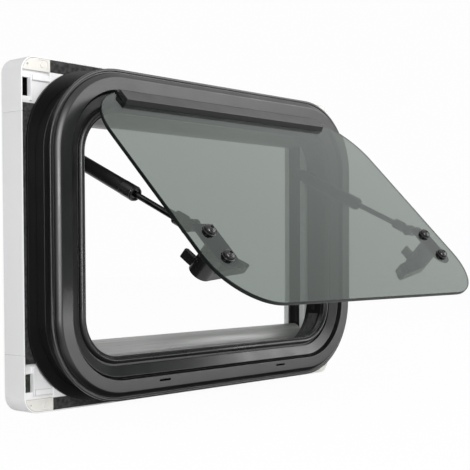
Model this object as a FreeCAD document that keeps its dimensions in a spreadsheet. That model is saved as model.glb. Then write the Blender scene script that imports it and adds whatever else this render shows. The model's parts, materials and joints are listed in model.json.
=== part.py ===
"""Top-hung caravan window: a moulded outer frame, a tinted acrylic flap on two
telescopic stays, turn latches, and a white inner frame with blind and flyscreen.

Millimetres. X runs along the wall, Y into the caravan, Z up. The origin lies on
the back of the outer flange, at the middle of its lower run, where it meets the wall.
"""
import FreeCAD, Part
import math
import os

import Sketcher

os.makedirs("parts", exist_ok=True)
doc = FreeCAD.newDocument("caravan_window")

DRIVING_SIZES = {
    # opening in the caravan wall, and the outer frame that covers its edge
    "cutout_width": 500,
    "cutout_height": 350,
    "flange_lap": 8.5,
    "flange_corner": 95,
    "neck_clearance": 0.9,
    # section of the outer frame: inset from the flange's edge, and depth from the wall
    "edge_depth": 6.2,
    "edge_round": 5.5,
    "edge_land": 0.8,
    "groove_inset": 6.4,
    "groove_width": 0.9,
    "groove_floor": 4.8,
    "bead_width": 3.2,
    "bead_round": 1.8,
    "face_depth": 8.6,
    "face_inset": 24,
    "skin": 2,
    "step_depth": 4.4,
    "ledge_width": 3,
    "slope_inset": 39,
    "slope_end": 2,
    "slope_heel": 1.6,
    "neck_length": 34.4,
    "neck_rib_start": 19.4,
    "neck_rib_width": 1.2,
    "neck_rib_height": 0.5,
    "neck_set_back": 0.6,
    "jamb_inset": 36.5,
    "jamb_end": 44.5,
    "drain_width": 17,
    "drain_height": 2.2,
    "drain_spacing": 205,
    "drain_rise": 18.8,
    # rubber seal round the opening
    "seal_root_start": 4,
    "seal_root_end": 12.5,
    "bead_foot_inset": 39.8,
    "bead_crest_inset": 43.4,
    "bead_crest_depth": 3.4,
    "bead_heel_inset": 46.8,
    "bead_radius": 4.4,
    "lip_inset": 50.2,
    "lip_depth": 0.6,
    "lip_end": 8.6,
    # black ring that closes the back of the outer frame
    "ring_proud": 0.6,
    "ring_corner": 88,
    "ring_thickness": 3.1,
    "ring_rebate": 0.4,
    "seat_gap": 0.3,
    # tinted flap, and the axis that it turns about
    "open_angle": 45.6,
    "axis_out": 11.55,
    "axis_drop": 5.45,
    "pane_side_inset": 31.1,
    "pane_foot_inset": 19.15,
    "pane_rise": 5,
    "pane_thickness": 4.2,
    "pane_skin_out": 1.75,
    "pane_top_corner": 75,
    "pane_foot_corner": 68.6,
    "notch_depth": 6,
    # hinge: bead on the frame, socket on the flap
    "hinge_left_inset": 82,
    "hinge_right_inset": 93,
    "rail_inset": 95.5,
    "hinge_bead": 2.08,
    "hinge_play": 0.07,
    "socket_wall": 2.05,
    "socket_gap_margin": 26,
    "web_thickness": 1.6,
    "foot_size": 3,
    "cover_thickness": 6.4,
    "cover_top": 3.5,
    "cover_bottom": 19,
    "cover_bottom_slope": 2,
    "cover_shoulder_angle": 205,
    "clamp_leg": 12,
    "clamp_thickness": 1,
    # telescopic stays
    "stay_off_jamb": 27,
    "stay_pivot_depth": 35,
    "stay_pivot_drop": 68.45,
    "stay_tube_radius": 8,
    "stay_tube_length": 108,
    "stay_collar_radius": 8.3,
    "stay_collar_length": 20.8,
    "stay_bore": 6,
    "stay_eye_radius": 7.6,
    "stay_eye_width": 11,
    "rod_radius": 3.3,
    "rod_play": 0.05,
    "rod_overlap": 22,
    "rod_fitting_length": 24.5,
    "rod_fitting_radius": 6.4,
    "rod_neck_radius": 4.5,
    "rod_pivot_rise": 120.4,
    "rod_pivot_off": 12.45,
    "pin_radius": 3,
    "pin_play": 0.06,
    "shoulder_gap": 0.3,
    # brackets on the flap, their cap screws, and the turn latches: heights from the pane's foot
    "bracket_inner": 16,
    "bracket_outer": 14.7,
    "bracket_top": 112.4,
    "bracket_foot": 52.4,
    "bracket_thickness": 2,
    "ear_top": 115.4,
    "ear_thickness": 3.2,
    "ear_reach": 5,
    "screw_offset": 0.5,
    "screw_upper": 99.9,
    "screw_lower": 64.4,
    "washer_radius": 7,
    "washer_thickness": 1.1,
    "cap_radius": 5.7,
    "cap_height": 3.4,
    "cap_recess": 1.9,
    "latch_offset": 3,
    "latch_rise": 82.4,
    "latch_radius": 12.3,
    "latch_post": 4,
    "latch_post_length": 28.6,
    "latch_height": 33.8,
    "lever_thickness": 10,
    "latch_rest": 19,
    "tongue_reach": 26,
    "tongue_outer": 3.2,
    "tongue_inner": 2.8,
    "grip_reach": 64.5,
    "grip_upper": 6.4,
    "grip_lower": 8.1,
    "grip_droop": 15.5,
    # pieces on the jambs
    "mount_thickness": 2.5,
    "mount_half_depth": 8,
    "mount_rise": 2.8,
    "mount_drop": 19,
    "mount_boss_radius": 6.4,
    "keeper_start": 18,
    "keeper_end": 41.5,
    "keeper_top": 7.05,
    "keeper_foot": 21.65,
    "keeper_thickness": 1.6,
    "keeper_screw_radius": 3.4,
    "keeper_screw_height": 1.8,
    "strip_start": 22,
    "strip_end": 38,
    "strip_rise": 1,
    # white inner frame: how far it laps the flange, then insets from its outer edge
    "inner_side_lap": 5,
    "inner_end_lap": 7.5,
    "inner_back": 73,
    "inner_skin": 1.5,
    "inner_corner": 18,
    "rim_thickness": 7.5,
    "rim_side": 56.8,
    "rim_sill": 70,
    "rim_head": 64,
    "strip_side": 45.5,
    "strip_front": 45,
    "strip_back": 54.6,
    "upper_joint": 59.4,
    "lower_joint": 62.8,
    "corner_side": 37.5,
    "foam_depth": 3.5,
    "foam_side": 17.5,
    "foam_rail_width": 13,
    "channel_wall": 2,
    "bar_side": 47,
    "bar_front": 46.5,
    "bar_back": 63.2,
    "bar_head": 66,
    "bar_sill": 71.5,
    "bar_round": 22,
    "pack_inner": 41.5,
    "pack_outer": 21.5,
    "pack_side": 5.5,
    "insert_height": 13.6,
    "insert_depth": 3,
    "insert_hole": 1.3,
    "window_width": 11,
    "window_low": 43,
    "window_high": 23,
    "shelf_low": 25.3,
    "shelf_high": 19.3,
}

sheet = doc.addObject("Spreadsheet::Sheet", "Sizes")
for row, (alias, number) in enumerate(DRIVING_SIZES.items(), start=1):
    sheet.set(f"A{row}", alias)
    sheet.set(f"B{row}", str(number))
    sheet.setAlias(f"B{row}", alias)
doc.recompute()


class Size:
    """A length held twice: as a number, and as the sheet formula that gives it."""

    def __init__(self, value, text):
        self.value = value
        self.text = text

    def __add__(self, other):
        other = as_size(other)
        return Size(self.value + other.value, f"({self.text} + {other.text})")

    def __sub__(self, other):
        other = as_size(other)
        return Size(self.value - other.value, f"({self.text} - {other.text})")

    def __mul__(self, other):
        other = as_size(other)
        return Size(self.value * other.value, f"({self.text} * {other.text})")

    def __truediv__(self, other):
        other = as_size(other)
        return Size(self.value / other.value, f"({self.text} / {other.text})")

    def __neg__(self):
        return as_size(0) - self

    __radd__ = __add__
    __rmul__ = __mul__


def as_size(number):
    return number if isinstance(number, Size) else Size(number, f"({number})")


def cell(alias):
    return Size(DRIVING_SIZES[alias], f"Sizes.{alias}")


def cosine(angle):
    return Size(math.cos(math.radians(angle.value)), f"cos({angle.text})")


def sine(angle):
    return Size(math.sin(math.radians(angle.value)), f"sin({angle.text})")


def root(square):
    return Size(math.sqrt(square.value), f"sqrt({square.text})")


def arc_angle(rise, run):
    """Angle in degrees whose tangent is rise over run."""
    angle = math.degrees(math.atan2(rise.value, run.value))
    return Size(angle, f"(atan2({rise.text}; {run.text}) / (1 deg))")


HALF_TURN = (None, 1, False)


# Sizes worked out from the sheet
FLANGE_HALF_WIDTH = cell("cutout_width") / 2 + cell("flange_lap")
FLANGE_HALF_HEIGHT = cell("cutout_height") / 2 + cell("flange_lap")
NECK_INSET = cell("flange_lap") + cell("neck_clearance")
FLANGE_FOOT = -NECK_INSET / 2
CENTRE_HEIGHT = FLANGE_HALF_HEIGHT + FLANGE_FOOT
AXIS_Y = -cell("axis_out")
AXIS_RISE = FLANGE_HALF_HEIGHT - cell("face_inset") - cell("axis_drop")
AXIS_Z = CENTRE_HEIGHT + AXIS_RISE
PANE_OUT = -cell("pane_skin_out")
PANE_IN = PANE_OUT + cell("pane_thickness")
PANE_FOOT = AXIS_RISE + FLANGE_HALF_HEIGHT - cell("pane_foot_inset")
INNER_HALF_WIDTH = FLANGE_HALF_WIDTH + cell("inner_side_lap")
INNER_HALF_HEIGHT = FLANGE_HALF_HEIGHT + cell("inner_end_lap")
JAMB_ACROSS = FLANGE_HALF_WIDTH - cell("jamb_inset")
STAY_ACROSS = JAMB_ACROSS - cell("stay_off_jamb")
STAY_PIVOT_Z = AXIS_Z - cell("stay_pivot_drop")
LATCH_ACROSS = STAY_ACROSS - cell("latch_offset")
ROD_PIVOT_ALONG = PANE_FOOT - cell("rod_pivot_rise")
LATCH_ALONG = PANE_FOOT - cell("latch_rise")
KEEPER_TOP = AXIS_Z - LATCH_ALONG - cell("keeper_top")
KEEPER_FOOT = AXIS_Z - LATCH_ALONG - cell("keeper_foot")
FOAM_BACK = cell("neck_length") + cell("ring_thickness") + cell("foam_depth")
FRAME_FRONT = cell("neck_length") + cell("ring_thickness")
INNER_OPENING_ACROSS = JAMB_ACROSS + cell("skin") + cell("seat_gap")
INNER_OPENING_RISE = FLANGE_HALF_HEIGHT - cell("jamb_inset") + cell("skin") + cell("seat_gap")


def side_of(alias):
    """Distance from the middle of a line inset from the inner frame's side."""
    return INNER_HALF_WIDTH - cell(alias)


def rise_of(alias):
    """Height from the middle of a line inset from the inner frame's end."""
    return INNER_HALF_HEIGHT - cell(alias)


class Outline:
    """A closed sketch outline whose corners are all tied to the sheet."""

    def __init__(self, sketch):
        self.sketch = sketch
        self.count = 0

    def tie(self, kind, where, size):
        self.count += 1
        name = f"{kind.lower()}_{self.count}"
        index = self.sketch.addConstraint(Sketcher.Constraint(kind, *where, size.value))
        self.sketch.renameConstraint(index, name)
        self.sketch.setExpression(f"Constraints.{name}", size.text)

    def draw(self, corners):
        """Each corner is (across, up), or (across, up, (radius, turn, large)) where an
        arc leads to the next corner: turn is 1 anticlockwise and -1 clockwise. A half
        turn has no radius. A single corner is a whole circle."""
        if len(corners) == 1:
            self.circle(*corners[0])
            return
        spans = []
        for index, corner in enumerate(corners):
            following = corners[(index + 1) % len(corners)]
            spans.append(self.span(corner, following))
        for index, (edge, first, last, corner) in enumerate(spans):
            next_edge, next_first = spans[(index + 1) % len(spans)][:2]
            self.sketch.addConstraint(Sketcher.Constraint("Coincident", edge, last, next_edge, next_first))
            self.tie("DistanceX", (-1, 1, edge, first), as_size(corner[0]))
            self.tie("DistanceY", (-1, 1, edge, first), as_size(corner[1]))
            if len(corner) > 2:
                self.tie_arc(edge, corner, corners[(index + 1) % len(corners)])

    def circle(self, across, up, radius):
        centre = FreeCAD.Vector(across.value, up.value, 0)
        edge = self.sketch.addGeometry(Part.Circle(centre, FreeCAD.Vector(0, 0, 1), radius.value), False)
        self.tie("DistanceX", (-1, 1, edge, 3), across)
        self.tie("DistanceY", (-1, 1, edge, 3), up)
        self.tie("Radius", (edge,), radius)

    def tie_arc(self, edge, corner, following):
        if corner[2][0] is not None:
            self.tie("Radius", (edge,), as_size(corner[2][0]))
            return
        across = as_size(corner[0]) + following[0]
        up = as_size(corner[1]) + following[1]
        lies_level = abs(as_size(corner[0]).value - as_size(following[0]).value) > 1e-6
        if lies_level:
            self.tie("DistanceY", (-1, 1, edge, 3), up / 2)
        else:
            self.tie("DistanceX", (-1, 1, edge, 3), across / 2)

    def span(self, corner, following):
        start = FreeCAD.Vector(as_size(corner[0]).value, as_size(corner[1]).value, 0)
        end = FreeCAD.Vector(as_size(following[0]).value, as_size(following[1]).value, 0)
        if len(corner) == 2:
            return self.sketch.addGeometry(Part.LineSegment(start, end), False), 1, 2, corner
        radius, turn, large = corner[2]
        chord = end - start
        radius = chord.Length / 2 if radius is None else as_size(radius).value
        offset = math.sqrt(max(radius ** 2 - (chord.Length / 2) ** 2, 0))
        side = -turn if large else turn
        left = FreeCAD.Vector(-chord.y, chord.x, 0).normalize()
        centre = (start + end) * 0.5 + left * offset * side
        from_angle = math.atan2(start.y - centre.y, start.x - centre.x)
        to_angle = math.atan2(end.y - centre.y, end.x - centre.x)
        circle = Part.Circle(centre, FreeCAD.Vector(0, 0, 1), radius)
        if turn > 0:
            return self.sketch.addGeometry(Part.ArcOfCircle(circle, from_angle, to_angle), False), 1, 2, corner
        return self.sketch.addGeometry(Part.ArcOfCircle(circle, to_angle, from_angle), False), 2, 1, corner


def new_body(label):
    body = doc.addObject("PartDesign::Body", label)
    body.Label = label
    return body


def sketch_on(body, role, offset):
    """A sketch on one of the body's own planes, moved along the plane's normal."""
    sketch = body.newObject("Sketcher::SketchObject", f"{body.Label}_sketch")
    plane = next(item for item in body.Origin.OriginFeatures if item.Role == role)
    sketch.AttachmentSupport = (plane, "")
    sketch.MapMode = "FlatFace"
    offset = as_size(offset)
    sketch.AttachmentOffset = FreeCAD.Placement(FreeCAD.Vector(0, 0, offset.value), FreeCAD.Rotation())
    sketch.setExpression("AttachmentOffset.Base.z", offset.text)
    return sketch


def extrude(body, kind, sketch, length):
    feature = body.newObject(f"PartDesign::{kind}", f"{body.Label}_{kind.lower()}")
    feature.Profile = sketch
    length = as_size(length)
    feature.Length = length.value
    feature.setExpression("Length", length.text)
    sketch.Visibility = False
    body.Tip = feature
    return feature


def front_sketch(body, corners, back):
    """An outline seen from outside, in (x, z), on the plane y = back."""
    sketch = sketch_on(body, "XZ_Plane", -as_size(back))
    Outline(sketch).draw(corners)
    return sketch


def add_plate(body, corners, front, back):
    return extrude(body, "Pad", front_sketch(body, corners, back), as_size(back) - front)


def cut_plate(body, corners, front, back):
    """Cuts the outline out of the body between the two depths."""
    sketch = front_sketch(body, corners, back)
    feature = extrude(body, "Pocket", sketch, as_size(back) - front)
    feature.Reversed = True
    return feature


def side_sketch(body, corners, left):
    """A section in (y, z), on the plane x = left."""
    sketch = sketch_on(body, "YZ_Plane", left)
    Outline(sketch).draw(corners)
    return sketch


def add_bar(body, corners, left, right):
    return extrude(body, "Pad", side_sketch(body, corners, left), as_size(right) - left)


def cut_bar(body, corners, left, right):
    feature = extrude(body, "Pocket", side_sketch(body, corners, left), as_size(right) - left)
    feature.Reversed = True
    return feature


def plan_bar(body, corners, foot, head):
    """A section in (x, y) carried up from foot to head."""
    sketch = sketch_on(body, "XY_Plane", foot)
    Outline(sketch).draw(corners)
    return extrude(body, "Pad", sketch, as_size(head) - foot)


def rectangle(left, right, low, high):
    return [(left, low), (right, low), (right, high), (left, high)]


def rounded_rectangle(left, right, low, high, radius):
    bend = (radius, 1, False)
    left, right, low, high, radius = (as_size(item) for item in (left, right, low, high, radius))
    return [
        (left + radius, low),
        (right - radius, low, bend),
        (right, low + radius),
        (right, high - radius, bend),
        (right - radius, high),
        (left + radius, high, bend),
        (left, high - radius),
        (left, low + radius, bend),
    ]


def disc(across, up, radius):
    """The one corner of a whole circle: its centre and radius."""
    return [(as_size(across), as_size(up), as_size(radius))]


def round_bar(body, y, z, radius, left, right):
    return add_bar(body, disc(y, z, radius), left, right)


def centred_rectangle(inset, corner):
    """A rounded rectangle round the frame's centre, inset from the flange's edge."""
    across = FLANGE_HALF_WIDTH - inset
    rise = FLANGE_HALF_HEIGHT - inset
    return rounded_rectangle(-across, across, CENTRE_HEIGHT - rise, CENTRE_HEIGHT + rise, corner)


def swept_ring(label, section):
    """A section in (depth, inset) swept round the flange's rounded edge."""
    body = new_body(label)
    path = sketch_on(body, "XZ_Plane", 0)
    corners = centred_rectangle(0, cell("flange_corner"))
    Outline(path).draw([(0, FLANGE_FOOT)] + corners[1:] + corners[:1])
    profile = sketch_on(body, "YZ_Plane", 0)
    Outline(profile).draw([(corner[0], FLANGE_FOOT + corner[1], *corner[2:]) for corner in section])
    sweep = body.newObject("PartDesign::AdditivePipe", f"{label}_sweep")
    sweep.Profile = (profile, [""])
    sweep.Spine = (path, [""])
    body.Tip = sweep
    return body


def mirrored(source, label):
    """The right-hand twin of a left-hand piece."""
    twin = doc.addObject("Part::Mirroring", label)
    twin.Label = label
    twin.Source = source
    twin.Base = FreeCAD.Vector(0, 0, 0)
    twin.Normal = FreeCAD.Vector(1, 0, 0)
    return twin


def as_set(pieces, label):
    """Like pieces that share a node and don't touch."""
    group = doc.addObject("Part::Compound", label)
    group.Label = label
    group.Links = pieces
    return group


def outer_frame():
    face = -cell("face_depth")
    groove_end = cell("groove_inset") + cell("groove_width")
    bead_end = groove_end + cell("bead_width")
    step_floor = face + cell("step_depth")
    ledge_end = cell("face_inset") + cell("ledge_width")
    skin = cell("skin")
    jamb_outer = cell("jamb_inset") - skin
    neck_inner = NECK_INSET + cell("neck_set_back")
    rib_end = cell("neck_rib_start") + cell("neck_rib_width")
    rib_crest = NECK_INSET - cell("neck_rib_height")
    neck_end = cell("neck_length") + cell("ring_rebate")
    body = swept_ring("outer_frame", [
        (0, 0),
        (-cell("edge_land"), 0, (cell("edge_round"), -1, False)),
        (-cell("edge_depth"), cell("edge_round")),
        (-cell("groove_floor"), cell("groove_inset")),
        (-cell("groove_floor"), groove_end),
        (-cell("edge_depth"), groove_end, (cell("bead_round") * 1.6, -1, False)),
        (face, bead_end),
        (face, cell("face_inset")),
        (step_floor, cell("face_inset")),
        (step_floor, ledge_end),
        (cell("slope_end"), cell("slope_inset")),
        (cell("slope_end") + cell("slope_heel"), cell("slope_inset")),
        (cell("slope_end") + cell("slope_heel"), cell("jamb_inset")),
        (cell("jamb_end"), cell("jamb_inset")),
        (cell("jamb_end"), jamb_outer),
        (cell("slope_end"), jamb_outer),
        (step_floor + skin, cell("face_inset") + skin),
        (step_floor + skin, cell("face_inset") - skin),
        (face + skin, cell("face_inset") - skin),
        (face + skin, neck_inner + skin),
        (neck_end, neck_inner + skin),
        (neck_end, neck_inner),
        (rib_end, neck_inner),
        (rib_end, rib_crest),
        (cell("neck_rib_start"), rib_crest),
        (cell("neck_rib_start"), NECK_INSET),
        (0, NECK_INSET),
    ])
    for side in (-1, 1):
        middle = cell("drain_spacing") / 2 * side
        height = FLANGE_FOOT + cell("drain_rise")
        half = cell("drain_width") / 2
        slot = rectangle(middle - half, middle + half,
                         height - cell("drain_height") / 2, height + cell("drain_height") / 2)
        cut_plate(body, slot, face - skin, face + skin * 2)
    return body


def window_seal():
    wall = cell("jamb_inset")
    crest = -cell("bead_crest_depth")
    lip_heel = cell("lip_inset") - 1.2
    return swept_ring("window_seal", [
        (cell("seal_root_start"), wall),
        (cell("seal_root_start"), cell("bead_foot_inset") + 0.4),
        (-0.4, cell("bead_foot_inset") + 0.2, (cell("bead_radius"), -1, False)),
        (crest, cell("bead_crest_inset"), (cell("bead_radius"), -1, False)),
        (-0.8, cell("bead_heel_inset")),
        (0.4, cell("bead_heel_inset") + 0.8),
        (-cell("lip_depth"), lip_heel),
        (0.4, cell("lip_inset")),
        (cell("lip_end") - 1, cell("lip_inset")),
        (cell("lip_end"), lip_heel),
        (cell("lip_end"), cell("bead_heel_inset") - 1),
        (cell("seal_root_end"), cell("bead_crest_inset") - 1),
        (cell("seal_root_end"), wall),
    ])


def clamp_ring():
    body = new_body("clamp_ring")
    across = FLANGE_HALF_WIDTH + cell("ring_proud")
    rise = FLANGE_HALF_HEIGHT + cell("ring_proud")
    outer = rounded_rectangle(-across, across, CENTRE_HEIGHT - rise, CENTRE_HEIGHT + rise, cell("ring_corner"))
    add_plate(body, outer, cell("neck_length"), FRAME_FRONT)
    wall = cell("jamb_inset") - cell("skin") - cell("seat_gap")
    inner = centred_rectangle(wall, cell("flange_corner") - wall)
    cut_plate(body, inner, cell("neck_length") - 1, FRAME_FRONT + 1)
    seat = NECK_INSET + cell("neck_set_back") - 0.2
    rebate = centred_rectangle(seat, cell("flange_corner") - seat)
    cut_plate(body, rebate, cell("neck_length") - 1, cell("neck_length") + cell("ring_rebate"))
    return body


def web_direction():
    """Unit vector in (y, z) from the hinge axis to the middle of the rail's foot."""
    step_floor = -cell("face_depth") + cell("step_depth")
    foot_y = step_floor - cell("foot_size") / 2
    foot_z = FLANGE_HALF_HEIGHT - cell("face_inset") - cell("foot_size") / 2
    run = foot_y + cell("axis_out")
    rise = foot_z - AXIS_RISE
    length = root(run * run + rise * rise)
    return run / length, rise / length, length, arc_angle(rise, run)


def hinge_rail():
    """Round bead that the flap turns on, with its web and its foot on the frame's step."""
    body = new_body("hinge_rail")
    half = FLANGE_HALF_WIDTH - cell("rail_inset")
    step_floor = -cell("face_depth") + cell("step_depth")
    foot_top = CENTRE_HEIGHT + FLANGE_HALF_HEIGHT - cell("face_inset")
    round_bar(body, AXIS_Y, AXIS_Z, cell("hinge_bead"), -half, half)
    along_y, along_z, length, _ = web_direction()
    side_y = -along_z * cell("web_thickness") / 2
    side_z = along_y * cell("web_thickness") / 2
    end_y = AXIS_Y + along_y * length
    end_z = AXIS_Z + along_z * length
    web = [
        (AXIS_Y + side_y, AXIS_Z + side_z),
        (AXIS_Y - side_y, AXIS_Z - side_z),
        (end_y - side_y, end_z - side_z),
        (end_y + side_y, end_z + side_z),
    ]
    add_bar(body, web, -half, half)
    foot = rectangle(step_floor - cell("foot_size"), step_floor, foot_top - cell("foot_size"), foot_top)
    add_bar(body, foot, -half, half)
    return body


def turn_with_flap(body):
    """Sets a piece drawn round the hinge axis at its place and opening angle."""
    turn = FreeCAD.Rotation(FreeCAD.Vector(-1, 0, 0), cell("open_angle").value)
    body.Placement = FreeCAD.Placement(FreeCAD.Vector(0, AXIS_Y.value, AXIS_Z.value), turn)
    body.setExpression("Placement.Base.y", AXIS_Y.text)
    body.setExpression("Placement.Base.z", AXIS_Z.text)
    body.setExpression("Placement.Rotation.Angle", cell("open_angle").text)
    return body


def hinge_ends():
    return cell("hinge_left_inset") - FLANGE_HALF_WIDTH, FLANGE_HALF_WIDTH - cell("hinge_right_inset")


def pane():
    body = new_body("pane")
    half = FLANGE_HALF_WIDTH - cell("pane_side_inset")
    top = cell("pane_rise")
    foot = -PANE_FOOT
    upper = cell("pane_top_corner")
    lower = cell("pane_foot_corner")
    edge = [
        (-half + lower, foot),
        (half - lower, foot, (lower, 1, False)),
        (half, foot + lower),
        (half, top - upper, (upper, 1, False)),
        (half - upper, top),
        (-half + upper, top, (upper, 1, False)),
        (-half, top - upper),
        (-half, foot + lower, (lower, 1, False)),
    ]
    add_plate(body, edge, PANE_OUT, PANE_IN)
    left, right = hinge_ends()
    left = left - cell("seat_gap")
    right = right + cell("seat_gap")
    cut_plate(body, rectangle(left, right, -cell("notch_depth"), top + 1), PANE_OUT - 1, PANE_IN + 1)
    return turn_with_flap(body)


def hinge_profile():
    """Bar clamped over the pane's top edge, with the socket that turns on the bead."""
    body = new_body("hinge_profile")
    bore = cell("hinge_bead") + cell("hinge_play")
    socket = bore + cell("socket_wall")
    web_angle = web_direction()[3]
    gap_low = web_angle - cell("socket_gap_margin")
    gap_high = web_angle + cell("open_angle") + cell("socket_gap_margin")
    shoulder = cell("cover_shoulder_angle")
    cover_out = PANE_OUT - cell("cover_thickness")
    leg_in = PANE_IN + cell("clamp_thickness")
    section = [
        (cover_out, -cell("cover_top")),
        (cover_out, -cell("cover_bottom")),
        (PANE_OUT, -cell("cover_bottom") - cell("cover_bottom_slope")),
        (PANE_OUT, -cell("notch_depth")),
        (PANE_IN, -cell("notch_depth")),
        (PANE_IN, -cell("clamp_leg")),
        (leg_in, -cell("clamp_leg")),
        (leg_in, -root(socket * socket - leg_in * leg_in), (socket, 1, False)),
        (socket * cosine(gap_low), socket * sine(gap_low)),
        (bore * cosine(gap_low), bore * sine(gap_low), (bore, -1, True)),
        (bore * cosine(gap_high), bore * sine(gap_high)),
        (socket * cosine(gap_high), socket * sine(gap_high), (socket, 1, False)),
        (socket * cosine(shoulder), socket * sine(shoulder)),
    ]
    add_bar(body, section, *hinge_ends())
    return turn_with_flap(body)


def flap_bracket():
    """Left plate behind the pane, with the ear for the stay and the latch's post."""
    body = new_body("left_bracket")
    inner = cell("bracket_inner") - STAY_ACROSS
    outer = -STAY_ACROSS - cell("bracket_outer")
    foot = cell("bracket_foot") - PANE_FOOT
    top = cell("bracket_top") - PANE_FOOT
    face = PANE_IN + cell("bracket_thickness")
    radius = (inner - outer) / 2
    plate = [
        (outer, foot + radius, HALF_TURN),
        (inner, foot + radius),
        (inner, top),
        (outer, top),
    ]
    add_plate(body, plate, PANE_IN, face)
    ear_inner = -(STAY_ACROSS + cell("ear_reach"))
    ear_outer = ear_inner - cell("ear_thickness")
    ear_radius = cell("rod_fitting_radius") + 0.6
    pivot = -ROD_PIVOT_ALONG
    ear = [
        (PANE_IN, top - 6),
        (cell("rod_pivot_off"), pivot - ear_radius, HALF_TURN),
        (cell("rod_pivot_off"), pivot + ear_radius),
        (PANE_IN, cell("ear_top") - PANE_FOOT),
    ]
    add_bar(body, ear, ear_outer, ear_inner)
    post = disc(-LATCH_ACROSS, -LATCH_ALONG, cell("latch_post"))
    add_plate(body, post, PANE_IN, face + cell("latch_post_length"))
    return turn_with_flap(body)


def cap_screw(side, along):
    """Domed cap screw outside the pane."""
    body = new_body("cap_screw")
    front = PANE_OUT - cell("washer_thickness")
    across = (STAY_ACROSS - cell("screw_offset")) * side
    up = cell(along) - PANE_FOOT
    add_plate(body, disc(across, up, cell("cap_radius")), front - cell("cap_height"), front)
    cut_plate(body, disc(across, up, cell("cap_recess")),
              front - cell("cap_height") - 1, front - cell("cap_height") / 2)
    return turn_with_flap(body)


def screw_washer(side, along):
    body = new_body("screw_washer")
    across = (STAY_ACROSS - cell("screw_offset")) * side
    up = cell(along) - PANE_FOOT
    add_plate(body, disc(across, up, cell("washer_radius")),
              PANE_OUT - cell("washer_thickness"), PANE_OUT)
    return turn_with_flap(body)


def hub_point(angle, forward, left):
    """Point on the left latch, ahead of its hub and left of a line at an angle from level."""
    return (forward * cosine(angle) - left * sine(angle) - LATCH_ACROSS,
            forward * sine(angle) + left * cosine(angle) - LATCH_ALONG)


def latch(label, turn):
    """Turn latch: hub, tongue and grip, turned this far from open towards locked."""
    body = new_body(label)
    base = PANE_IN + cell("bracket_thickness") + cell("seat_gap")
    head = base + cell("latch_height")
    lever = head - cell("lever_thickness")
    hub = cell("latch_radius")
    add_plate(body, disc(-LATCH_ACROSS, -LATCH_ALONG, hub), base, head)
    angle = as_size(turn) - cell("grip_droop")
    reach = cell("grip_reach")
    upper = cell("grip_upper")
    lower = cell("grip_lower")
    grip = [
        hub_point(angle, as_size(1.5), -hub + 0.2),
        (*hub_point(angle, reach - 5.5, -lower - 0.35), (2.5, 1, False)),
        hub_point(angle, reach - 3.9, -lower + 3.9),
        (*hub_point(angle, reach - 13.3, upper - 1.2), (4, 1, False)),
        hub_point(angle, reach - 16.2, upper),
        (*hub_point(angle, as_size(21), upper), (18, -1, False)),
        hub_point(angle, hub * 0.56, hub * 0.81),
        hub_point(angle, as_size(0), as_size(0)),
    ]
    add_plate(body, grip, lever, head)
    angle = as_size(turn) + 90
    tip = cell("tongue_reach")
    outer = cell("tongue_outer")
    inner = -cell("tongue_inner")
    tongue = [
        hub_point(angle, as_size(0), inner),
        hub_point(angle, tip - 1.6, inner),
        hub_point(angle, tip, inner + 2.2),
        hub_point(angle, tip, outer - 1),
        hub_point(angle, tip - 1, outer),
        hub_point(angle, as_size(0), outer),
    ]
    add_plate(body, tongue, lever, head)
    bore = disc(-LATCH_ACROSS, -LATCH_ALONG, cell("latch_post") + cell("pin_play"))
    post_head = PANE_IN + cell("bracket_thickness") + cell("latch_post_length")
    cut_plate(body, bore, base - 1, post_head + cell("seat_gap"))
    return turn_with_flap(body)


def stay_geometry():
    """Length of the stay and its fall from level, with the flap open."""
    cos_open = cosine(cell("open_angle"))
    sin_open = sine(cell("open_angle"))
    end_y = AXIS_Y + cell("rod_pivot_off") * cos_open - ROD_PIVOT_ALONG * sin_open
    end_z = AXIS_Z - cell("rod_pivot_off") * sin_open - ROD_PIVOT_ALONG * cos_open
    run = cell("stay_pivot_depth") - end_y
    fall = STAY_PIVOT_Z - end_z
    return root(run * run + fall * fall), arc_angle(fall, run)


def lie_along_stay(body):
    """Sets a piece drawn from the jamb pivot along +Y on the stay's own line."""
    fall = stay_geometry()[1]
    turn = FreeCAD.Rotation(FreeCAD.Vector(1, 0, 0), 180 + fall.value)
    height = STAY_PIVOT_Z
    body.Placement = FreeCAD.Placement(
        FreeCAD.Vector(0, cell("stay_pivot_depth").value, height.value), turn)
    body.setExpression("Placement.Base.y", cell("stay_pivot_depth").text)
    body.setExpression("Placement.Base.z", height.text)
    body.setExpression("Placement.Rotation.Angle", f"180 + {fall.text}")
    return body


def revolve(body, section, across, kind="Revolution"):
    """Turns a half section in (along, radius) about the stay's own line."""
    sketch = side_sketch(body, section, across)
    feature = body.newObject(f"PartDesign::{kind}", f"{body.Label}_{kind.lower()}")
    feature.Profile = sketch
    feature.ReferenceAxis = (sketch, ["H_Axis"])
    feature.Angle = 360
    body.Tip = feature
    return feature


def stay_tube():
    body = new_body("left_stay_tube")
    across = -STAY_ACROSS
    tube = cell("stay_tube_radius")
    length = cell("stay_tube_length") - cell("stay_collar_length")
    half = cell("stay_eye_width") / 2
    cheek = cell("stay_eye_radius")
    revolve(body, [(2, 0), (length, 0), (length, tube), (cheek + 4, tube),
                   (cheek + 0.5, half - 0.4), (2, half - 0.4)], across)
    round_bar(body, 0, 0, cell("stay_eye_radius"), across - half, across + half)
    bore = cell("stay_bore")
    blind = cell("stay_eye_radius") + 4
    revolve(body, [(blind, 0), (length + 1, 0), (length + 1, bore), (blind, bore)], across, "Groove")
    cut_bar(body, disc(0, 0, cell("pin_radius") + cell("pin_play")), across - half - 1, across + half + 1)
    return lie_along_stay(body)


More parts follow.
